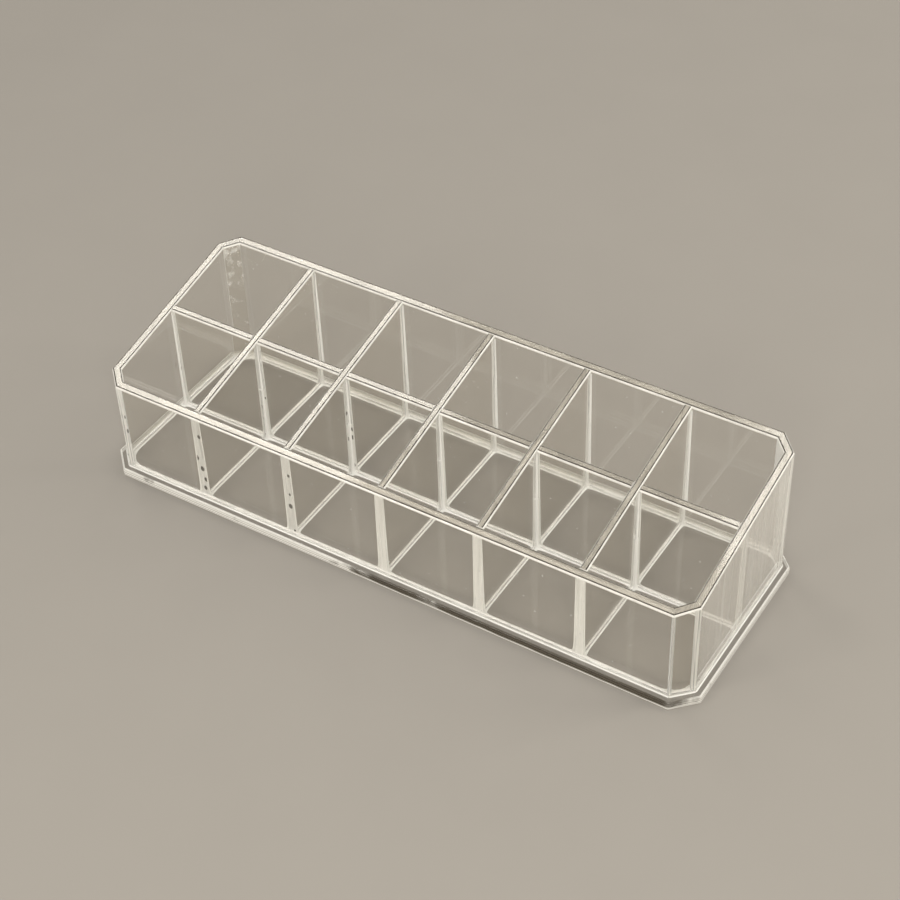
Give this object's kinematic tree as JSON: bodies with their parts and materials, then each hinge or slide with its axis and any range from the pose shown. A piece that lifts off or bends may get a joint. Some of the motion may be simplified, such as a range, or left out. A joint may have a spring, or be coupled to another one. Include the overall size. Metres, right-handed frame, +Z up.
{
  "type": "acrylic organizer",
  "caption": "Clear octagonal desktop organizer with a low front, a high back, sloping ends and crossed dividers that make square compartments open at the top.",
  "frame": {"origin": "centre of the base plate's underside, on the table", "axes": "+X along the length to the right, -Y towards the low front wall, +Z up"},
  "size_m": [0.18, 0.063, 0.043],
  "materials": {
    "clear_acrylic": "polished and clear"
  },
  "bodies": {
    "root": {"base_plate": "clear_acrylic", "front_wall": "clear_acrylic", "right_end_wall": "clear_acrylic", "back_wall": "clear_acrylic", "left_end_wall": "clear_acrylic", "front_right_corner": "clear_acrylic", "back_right_corner": "clear_acrylic", "back_left_corner": "clear_acrylic", "front_left_corner": "clear_acrylic", "long_divider": "clear_acrylic", "cross_divider_1": "clear_acrylic", "cross_divider_2": "clear_acrylic", "cross_divider_3": "clear_acrylic", "cross_divider_4": "clear_acrylic", "cross_divider_5": "clear_acrylic"}
  },
  "joints": []
}
